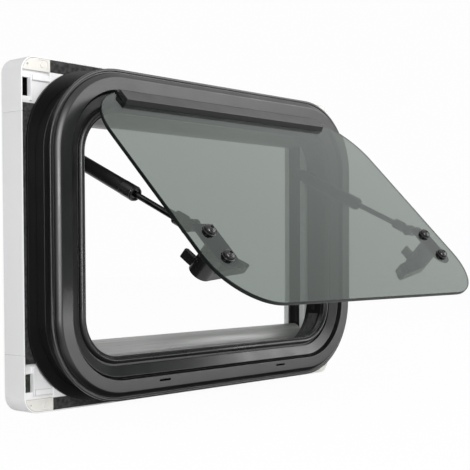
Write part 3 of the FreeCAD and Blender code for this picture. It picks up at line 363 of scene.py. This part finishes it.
class Finish:
    """A node material built on one Principled shader."""

    def __init__(self, name, colour, roughness, **constants):
        self.material = bpy.data.materials.new(name)
        self.nodes, self.links, self.out = emptied(self.material, "ShaderNodeOutputMaterial")
        self.shader = self.nodes.new("ShaderNodeBsdfPrincipled")
        self.links.new(self.shader.outputs[0], self.out.inputs[0])
        self.shader.inputs["Base Color"].default_value = (*colour, 1)
        self.shader.inputs["Roughness"].default_value = roughness
        for socket, value in constants.items():
            self.shader.inputs[socket.replace("_", " ")].default_value = value
        self.place = self.nodes.new("ShaderNodeTexCoord").outputs["Object"]
        self.normal = None

    def set_normal(self, normal):
        self.normal = normal
        self.links.new(normal, self.shader.inputs["Normal"])

    def edges(self, radius):
        """Softens sharp corners by a small radius, in millimetres."""
        bevel = self.nodes.new("ShaderNodeBevel")
        bevel.samples = EDGE_SAMPLES
        bevel.inputs["Radius"].default_value = radius * MM
        self.set_normal(bevel.outputs[0])

    def noise(self, scale, detail, stretch=(1, 1, 1)):
        """Noise of a scale per metre, drawn out along the directions with a small stretch."""
        placing = self.nodes.new("ShaderNodeMapping")
        placing.inputs["Scale"].default_value = stretch
        self.links.new(self.place, placing.inputs["Vector"])
        noise = self.nodes.new("ShaderNodeTexNoise")
        noise.inputs["Scale"].default_value = scale
        noise.inputs["Detail"].default_value = detail
        self.links.new(placing.outputs[0], noise.inputs["Vector"])
        return noise.outputs["Fac"]

    def between(self, pattern, low, high):
        """The middle of the pattern's range spread over other values."""
        spread = self.nodes.new("ShaderNodeMapRange")
        spread.inputs["From Min"].default_value = PATTERN_LOW
        spread.inputs["From Max"].default_value = PATTERN_HIGH
        spread.inputs["To Min"].default_value = low
        spread.inputs["To Max"].default_value = high
        self.links.new(pattern, spread.inputs["Value"])
        return spread.outputs[0]

    def vary_roughness(self, pattern, low, high):
        self.links.new(self.between(pattern, low, high), self.shader.inputs["Roughness"])

    def vary_colour(self, pattern, first, second):
        mix = self.nodes.new("ShaderNodeMix")
        mix.data_type = "RGBA"
        mix.inputs["A"].default_value = (*first, 1)
        mix.inputs["B"].default_value = (*second, 1)
        self.links.new(self.between(pattern, 0, 1), mix.inputs["Factor"])
        self.links.new(mix.outputs["Result"], self.shader.inputs["Base Color"])

    def relief(self, pattern, height, strength):
        """Raises the surface by the pattern, in millimetres."""
        bump = self.nodes.new("ShaderNodeBump")
        bump.inputs["Distance"].default_value = height * MM
        bump.inputs["Strength"].default_value = strength
        self.links.new(pattern, bump.inputs["Height"])
        if self.normal is not None:
            self.links.new(self.normal, bump.inputs["Normal"])
        self.set_normal(bump.outputs[0])


def times(colour, factor):
    """A colour made lighter or darker."""
    return tuple(value * factor for value in colour)


BLACK_COLOUR = (0.006, 0.006, 0.0062)


def black_plastic(name, roughness, gloss):
    """Satin black moulding with a fine spark-eroded grain and faint wear."""
    finish = Finish(name, BLACK_COLOUR, roughness, Specular_IOR_Level=gloss)
    finish.edges(0.4)
    finish.vary_roughness(finish.noise(scale=26, detail=4), roughness - 0.05, roughness + 0.06)
    finish.relief(finish.noise(scale=2600, detail=2), height=0.02, strength=0.5)
    finish.relief(finish.noise(scale=60, detail=3), height=0.05, strength=0.4)
    finish.vary_colour(finish.noise(scale=9, detail=5), BLACK_COLOUR, times(BLACK_COLOUR, 1.35))
    return finish.material


def black_rubber(name, roughness):
    """Black rubber with a soft sheen."""
    finish = Finish(name, BLACK_COLOUR, roughness, Specular_IOR_Level=0.5)
    finish.edges(0.5)
    finish.vary_roughness(finish.noise(scale=40, detail=4), roughness - 0.06, roughness + 0.08)
    finish.relief(finish.noise(scale=1500, detail=3), height=0.03, strength=0.4)
    finish.vary_colour(finish.noise(scale=14, detail=4), BLACK_COLOUR, times(BLACK_COLOUR, 1.6))
    return finish.material


def pale_plastic(name, colour, roughness):
    """Satin moulding in a pale colour, a little uneven."""
    finish = Finish(name, colour, roughness, Specular_IOR_Level=0.45)
    finish.edges(0.6)
    finish.vary_roughness(finish.noise(scale=18, detail=4), roughness - 0.05, roughness + 0.08)
    finish.relief(finish.noise(scale=1800, detail=2), height=0.02, strength=0.5)
    finish.vary_colour(finish.noise(scale=6, detail=5), colour, times(colour, 0.965))
    return finish.material


def foam(name, dark, light):
    """Black closed-cell foam with small pores."""
    finish = Finish(name, (dark, dark, dark), 0.85, Specular_IOR_Level=0.2)
    cells = finish.nodes.new("ShaderNodeTexVoronoi")
    cells.inputs["Scale"].default_value = 1400
    finish.links.new(finish.place, cells.inputs["Vector"])
    finish.relief(cells.outputs["Distance"], height=0.2, strength=0.7)
    finish.vary_colour(finish.noise(scale=220, detail=3), (dark, dark, dark), (light, light, light))
    return finish.material


def coated_bar(name):
    """Grey coated bar with a grain along its length."""
    finish = Finish(name, (0.3, 0.3, 0.297), 0.3)
    finish.edges(0.8)
    grain = finish.noise(scale=500, detail=3, stretch=(0.02, 1, 1))
    finish.vary_roughness(grain, 0.26, 0.36)
    finish.relief(grain, height=0.01, strength=0.5)
    finish.vary_colour(finish.noise(scale=8, detail=4), (0.29, 0.29, 0.287), (0.33, 0.33, 0.327))
    return finish.material


def satin_steel(name):
    """Dark steel rod with fine marks round it."""
    finish = Finish(name, (0.06, 0.06, 0.062), 0.3, Metallic=1.0)
    turned_grain = finish.noise(scale=900, detail=3, stretch=(1, 0.04, 0.04))
    finish.vary_roughness(turned_grain, 0.22, 0.38)
    finish.relief(turned_grain, height=0.01, strength=0.4)
    finish.vary_colour(finish.noise(scale=50, detail=3), (0.045, 0.045, 0.047), (0.08, 0.08, 0.08))
    return finish.material


def woven(name, dark, light):
    """Thin folded cloth with a fine weave."""
    finish = Finish(name, dark, 0.8, Specular_IOR_Level=0.2)
    finish.relief(finish.noise(scale=3000, detail=2), height=0.05, strength=0.6)
    finish.vary_colour(finish.noise(scale=120, detail=4), dark, light)
    return finish.material


def tinted_acrylic(name):
    """Grey-green tinted acrylic that lets a little of the lamps' light through."""
    finish = Finish(name, (0.21, 0.238, 0.22), 0.02, Transmission_Weight=1.0, IOR=1.49,
                    Specular_Tint=(0.78, 1, 0.88, 1))
    finish.vary_roughness(finish.noise(scale=5, detail=3), 0.01, 0.035)
    finish.relief(finish.noise(scale=7, detail=2), height=0.6, strength=0.12)
    clear = coloured(finish.nodes, "ShaderNodeBsdfTransparent", (0.3, 0.32, 0.3, 1))
    shadow = finish.nodes.new("ShaderNodeLightPath").outputs["Is Shadow Ray"]
    finish.links.new(mixed(finish.nodes, shadow, finish.shader, clear), finish.out.inputs[0])
    return finish.material


def sawn_edge(name):
    """Edge of the tinted sheet, near black from the side."""
    finish = Finish(name, (0.006, 0.008, 0.007), 0.35, Specular_IOR_Level=0.15)
    finish.vary_roughness(finish.noise(scale=90, detail=3), 0.3, 0.42)
    finish.vary_colour(finish.noise(scale=30, detail=3), (0.004, 0.006, 0.005), (0.009, 0.012, 0.01))
    return finish.material


BLACK_FRAME = black_plastic("black_frame_plastic", 0.34, 0.62)
BLACK = black_plastic("black_plastic", 0.34, 0.28)
BLACK_GLOSS = black_plastic("black_plastic_smooth", 0.27, 0.5)
RUBBER = black_rubber("window_rubber", 0.32)
WHITE = pale_plastic("white_plastic", (0.73, 0.73, 0.738), 0.42)
BEIGE = pale_plastic("beige_plastic", (0.62, 0.605, 0.57), 0.5)
FOAM = foam("foam", 0.018, 0.05)
STRIP = foam("ribbed_strip", 0.05, 0.08)
BAR = coated_bar("coated_bar")
STEEL = satin_steel("satin_steel")
BLIND = woven("blind_cloth", (0.012, 0.012, 0.012), (0.03, 0.03, 0.03))
SCREEN = woven("flyscreen_cloth", (0.2, 0.23, 0.2), (0.36, 0.4, 0.35))
ACRYLIC = tinted_acrylic("tinted_acrylic")
ACRYLIC_EDGE = sawn_edge("acrylic_edge")

SLOT_FINISH = {
    "black_moulding": BLACK, "black_rubber": RUBBER, "tinted_pane": ACRYLIC,
    "white_moulding": WHITE, "beige_moulding": BEIGE, "black_foam": FOAM,
    "grey_bar": BAR, "screen_mesh": SCREEN, "steel_rod": STEEL,
}

# Pieces that keep their own shape: node, corner radius in millimetres, steps round a corner, and
# the finish where it isn't the slot's own
SIDE_MOULDINGS = [
    ("{}_latch", 1.1, 3, BLACK_GLOSS),
    ("{}_bracket", 0.5, 2),
    ("{}_stay_tube", 0.6, 2),
    ("{}_rod_fitting", 0.6, 2, BLACK_GLOSS),
    ("{}_stay_rod", 0.3, 2),
    ("{}_stay_mount", 0.5, 2),
    ("{}_jamb_keeper", 0.4, 2),
    ("{}_blind_channel", 0.3, 2, BLACK_FRAME),
    ("{}_corner_strip", 0.3, 2, STRIP),
    ("inner_frame_{}", 0.7, 3),
    ("inner_corner_top_{}", 0.5, 2),
    ("inner_corner_bottom_{}", 0.5, 2),
]
MIDDLE_MOULDINGS = [
    ("inner_frame_top", 0.7, 3),
    ("inner_frame_bottom", 0.7, 3),
    ("corner_inserts", 0.35, 2),
    ("clamp_ring", 0.5, 2),
    ("blind_bar", 0.8, 3),
    ("flyscreen_bar", 0.8, 3),
]


def dress_cad_nodes():
    """Each CAD node takes the finish of its material slot."""
    for node, slot in SLOT_OF.items():
        finish = BLIND if node == "blind_pack" else SLOT_FINISH[slot]
        frame["nodes"][node].data.materials.clear()
        frame["nodes"][node].data.materials.append(finish)


def stand_for(piece, node, *finishes):
    """The piece takes a CAD node's place, its body and its slot."""
    for finish in finishes or (SLOT_FINISH[SLOT_OF[node]],):
        piece.data.materials.append(finish)
    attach(piece, BODY_OF[node])
    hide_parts(node)


def smooth(piece, angle=SMOOTH_UNDER):
    """Smooth shading that keeps flats flat and true corners crisp."""
    piece.data.shade_smooth()
    piece.data.set_sharp_from_angle(angle=math.radians(angle))
    weights = piece.modifiers.new("weights", "WEIGHTED_NORMAL")
    weights.keep_sharp = True
    return piece


def eased(node, radius, segments, corner=ROUND_OVER):
    """A CAD node's own shape with its corners rounded off by a radius in millimetres."""
    mesh = bmesh.new()
    mesh.from_mesh(frame["nodes"][node].data)
    bmesh.ops.remove_doubles(mesh, verts=mesh.verts, dist=JOIN_CAD * MM)
    bmesh.ops.dissolve_limit(mesh, angle_limit=math.radians(FLAT_UNDER), verts=mesh.verts,
                             edges=mesh.edges)
    sharp = [edge for edge in mesh.edges
             if len(edge.link_faces) == 2 and edge.calc_face_angle() > math.radians(corner)]
    bmesh.ops.bevel(mesh, geom=sharp, offset=radius * MM, offset_type="OFFSET", affect="EDGES",
                    segments=segments, profile=0.5, material=-1, clamp_overlap=True)
    return smooth(as_object(mesh, f"{node}_moulding"))


def turned(profile, at, along, steps, closed=False):
    """A half section in (radius, height) spun round, its height laid along a direction."""
    mesh = bmesh.new()
    verts = [mesh.verts.new((radius * MM, 0, height * MM)) for radius, height in profile]
    pairs = list(zip(verts, verts[1:]))
    if closed:
        pairs.append((verts[-1], verts[0]))
    edges = [mesh.edges.new(pair) for pair in pairs]
    bmesh.ops.spin(mesh, geom=verts + edges, cent=(0, 0, 0), axis=(0, 0, 1), angle=math.tau,
                   steps=steps, use_merge=True, use_duplicate=False)
    bmesh.ops.remove_doubles(mesh, verts=mesh.verts, dist=JOIN_TURNED * MM)
    bmesh.ops.recalc_face_normals(mesh, faces=mesh.faces)
    turn = Vector(along).to_track_quat("Z", "X").to_matrix().to_4x4()
    bmesh.ops.transform(mesh, matrix=Matrix.Translation(at) @ turn, verts=mesh.verts)
    return mesh


def together(meshes, name):
    """Several meshes as one object."""
    whole = bmesh.new()
    for mesh in meshes:
        part = bpy.data.meshes.new("part")
        mesh.to_mesh(part)
        mesh.free()
        whole.from_mesh(part)
        bpy.data.meshes.remove(part)
    return as_object(whole, name)


def of_kind(items, kind):
    """The items of one class, in their order."""
    return [item for item in items if isinstance(item, kind)]


def swept_round_flange(section):
    """Sweeps a section of (depth, inset, rounding) corners round the flange's edge."""
    mesh = bmesh.new()
    half = FLANGE_HALF_WIDTH - FLANGE_CORNER
    rise = FLANGE_HALF_HEIGHT - FLANGE_CORNER
    verts = [mesh.verts.new(Vector((-half, depth, FLANGE_FOOT + inset)) * MM)
             for depth, inset, _ in section]
    mesh.faces.new(verts)
    for size in sorted({corner[2] for corner in section if corner[2]}):
        group = [vert for vert, corner in zip(verts, section) if corner[2] == size]
        bmesh.ops.bevel(mesh, geom=group, offset=size * MM, offset_type="OFFSET",
                        affect="VERTICES", segments=FINE_STEPS if size < FINE_ROUNDING else WIDE_STEPS,
                        profile=0.5, material=-1, clamp_overlap=False)
    bmesh.ops.delete(mesh, geom=mesh.faces[:], context="FACES_ONLY")
    front = mesh.edges[:]
    for across, up in ((1, -1), (1, 1), (-1, 1), (-1, -1)):
        level = across == -up
        run = Vector((across * 2 * half, 0, 0) if level else (0, 0, up * 2 * rise)) * MM
        grown = bmesh.ops.extrude_edge_only(mesh, edges=front)["geom"]
        bmesh.ops.translate(mesh, vec=run, verts=of_kind(grown, bmesh.types.BMVert))
        front = [edge for edge in of_kind(grown, bmesh.types.BMEdge)
                 if all(vert in grown for vert in edge.verts)]
        ends = list(dict.fromkeys(vert for edge in front for vert in edge.verts))
        centre = Vector((across * half, 0, CENTRE_HEIGHT + up * rise)) * MM
        grown = bmesh.ops.spin(mesh, geom=ends + front, cent=centre, axis=(0, 1, 0),
                               angle=-math.pi / 2, steps=CORNER_STEPS,
                               use_duplicate=False)["geom_last"]
        front = of_kind(grown, bmesh.types.BMEdge)
    bmesh.ops.remove_doubles(mesh, verts=mesh.verts, dist=JOIN_SWEPT * MM)
    bmesh.ops.recalc_face_normals(mesh, faces=mesh.faces)
    return mesh


def drain_slot_blocks():
    """The shape of the two drain slots in the lower face."""
    slots = bmesh.new()
    for side in (-1, 1):
        block = bmesh.ops.create_cube(slots, size=1)["verts"]
        middle = Vector((DRAIN_ACROSS * side, DRAIN_DEPTH, DRAIN_HEIGHT))
        bmesh.ops.scale(slots, vec=DRAIN_SLOT * MM, verts=block)
        bmesh.ops.translate(slots, vec=middle * MM, verts=block)
        through = [edge for vert in block for edge in vert.link_edges
                   if abs((edge.verts[0].co - edge.verts[1].co).y) > 0.5 * DRAIN_SLOT.y * MM]
        bmesh.ops.bevel(slots, geom=list(dict.fromkeys(through)), offset=DRAIN_ROUNDING * MM,
                        offset_type="OFFSET", affect="EDGES", segments=FINE_STEPS, profile=0.5,
                        material=-1, clamp_overlap=True)
    return as_object(slots, "drain_slots")


def carve(piece, cutter):
    """Cuts one object out of another and removes it."""
    cut = piece.modifiers.new("slots", "BOOLEAN")
    cut.operation = "DIFFERENCE"
    cut.solver = "EXACT"
    cut.object = cutter
    graph = bpy.context.evaluated_depsgraph_get()
    finished = bpy.data.meshes.new_from_object(piece.evaluated_get(graph))
    piece.modifiers.clear()
    piece.data = finished
    bpy.data.objects.remove(cutter)


def make_outer_frame():
    """Black outer frame with its drain slots, satin outside and duller down the neck."""
    piece = as_object(swept_round_flange(OUTER_FRAME_SECTION), "outer_frame_moulding")
    carve(piece, drain_slot_blocks())
    for face in piece.data.polygons:
        face.material_index = int(face.center.y > NECK_START * MM)
    stand_for(smooth(piece), "outer_frame", BLACK_FRAME, BLACK)


def make_window_seal():
    """Rubber bead and lip round the opening."""
    piece = as_object(swept_round_flange(WINDOW_SEAL_SECTION), "window_seal_moulding")
    stand_for(smooth(piece), "window_seal")


def make_pane():
    """Tinted sheet with rounded, near-black edges."""
    piece = eased("pane", 0.8, 3, corner=ROUND_PANE_OVER)
    for face in piece.data.polygons:
        face.material_index = 0 if abs(face.normal.dot(PANE_INWARD)) > ALONG_PANE else 1
    stand_for(piece, "pane", ACRYLIC, ACRYLIC_EDGE)


def on_flap(across, inward, down):
    """A point beside the flap, by its place on the pane and its height off the hinge's plane."""
    level = Vector((across, 0, 0))
    return HINGE_AXIS + level * MM + PANE_INWARD * inward * MM - PANE_UPWARD * down * MM


def make_cap_screws():
    """Domed cap screws with a socket, on soft washers."""
    places = [on_flap(side * SCREW_ACROSS, PANE_SKIN, down)
              for side in (-1, 1) for down in SCREW_DROPS]
    for node, section, finish in (("cap_screws", CAP_SECTION, BLACK_GLOSS),
                                  ("screw_washers", WASHER_SECTION, RUBBER)):
        meshes = [turned(section, at, -PANE_INWARD, SCREW_STEPS) for at in places]
        piece = smooth(together(meshes, f"{node}_turned"), SMOOTH_SCREW_UNDER)
        stand_for(piece, node, finish)


def make_stay_collars():
    """Collars with a raised ring round the rod."""
    for side in SIDES:
        across = Vector((STAY_ACROSS[side], 0, 0))
        at = STAY_PIVOT + across * MM + STAY_ALONG * COLLAR_START * MM
        node = f"{side}_stay_collar"
        mesh = turned(COLLAR_SECTION, at, STAY_ALONG, COLLAR_STEPS, closed=True)
        stand_for(smooth(as_object(mesh, f"{node}_turned")), node, BLACK_GLOSS)


def make_pack(node, finish):
    """Cloth folded to and fro across its rail."""
    low, high = (Vector(corner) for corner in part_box(node))
    mesh = bmesh.new()
    bmesh.ops.create_grid(mesh, x_segments=1, y_segments=FOLDS * 2, size=HALF_UNIT)
    size = high - low
    rows = sorted({round(vert.co.y, 5) for vert in mesh.verts})
    front, back = low.y + FOLD_GAP * MM, high.y - FOLD_GAP * MM
    for vert in mesh.verts:
        row = rows.index(round(vert.co.y, 5))
        share = FOLD_START + FOLD_SPREAD * row / (len(rows) - 1)
        vert.co = (low.x + (vert.co.x + HALF_UNIT) * size.x,
                   front if row % 2 else back,
                   low.z + size.z * share)
    bmesh.ops.solidify(mesh, geom=mesh.faces[:], thickness=CLOTH_THICKNESS * MM)
    bmesh.ops.recalc_face_normals(mesh, faces=mesh.faces)
    stand_for(as_object(mesh, f"{node}_folds"), node, finish)


def make_hinge_profile():
    """Profile over the flap's top edge, duller underneath."""
    piece = eased("hinge_profile", 0.4, 2)
    for face in piece.data.polygons:
        face.material_index = int(face.normal.z < FACING_DOWN)
    stand_for(piece, "hinge_profile", BLACK_FRAME, BLACK)


def make_moulded_pieces():
    """The other pieces: their own shapes with the real ones' small corner radii."""
    for side in SIDES:
        for pattern, radius, segments, *finish in SIDE_MOULDINGS:
            node = pattern.format(side)
            stand_for(eased(node, radius, segments), node, *finish)
    for node, radius, segments in MIDDLE_MOULDINGS:
        stand_for(eased(node, radius, segments), node)


set_camera()
set_studio()
dress_cad_nodes()
make_outer_frame()
make_window_seal()
make_pane()
make_cap_screws()
make_stay_collars()
make_pack("blind_pack", BLIND)
make_pack("flyscreen_pack", SCREEN)
make_hinge_profile()
make_moulded_pieces()
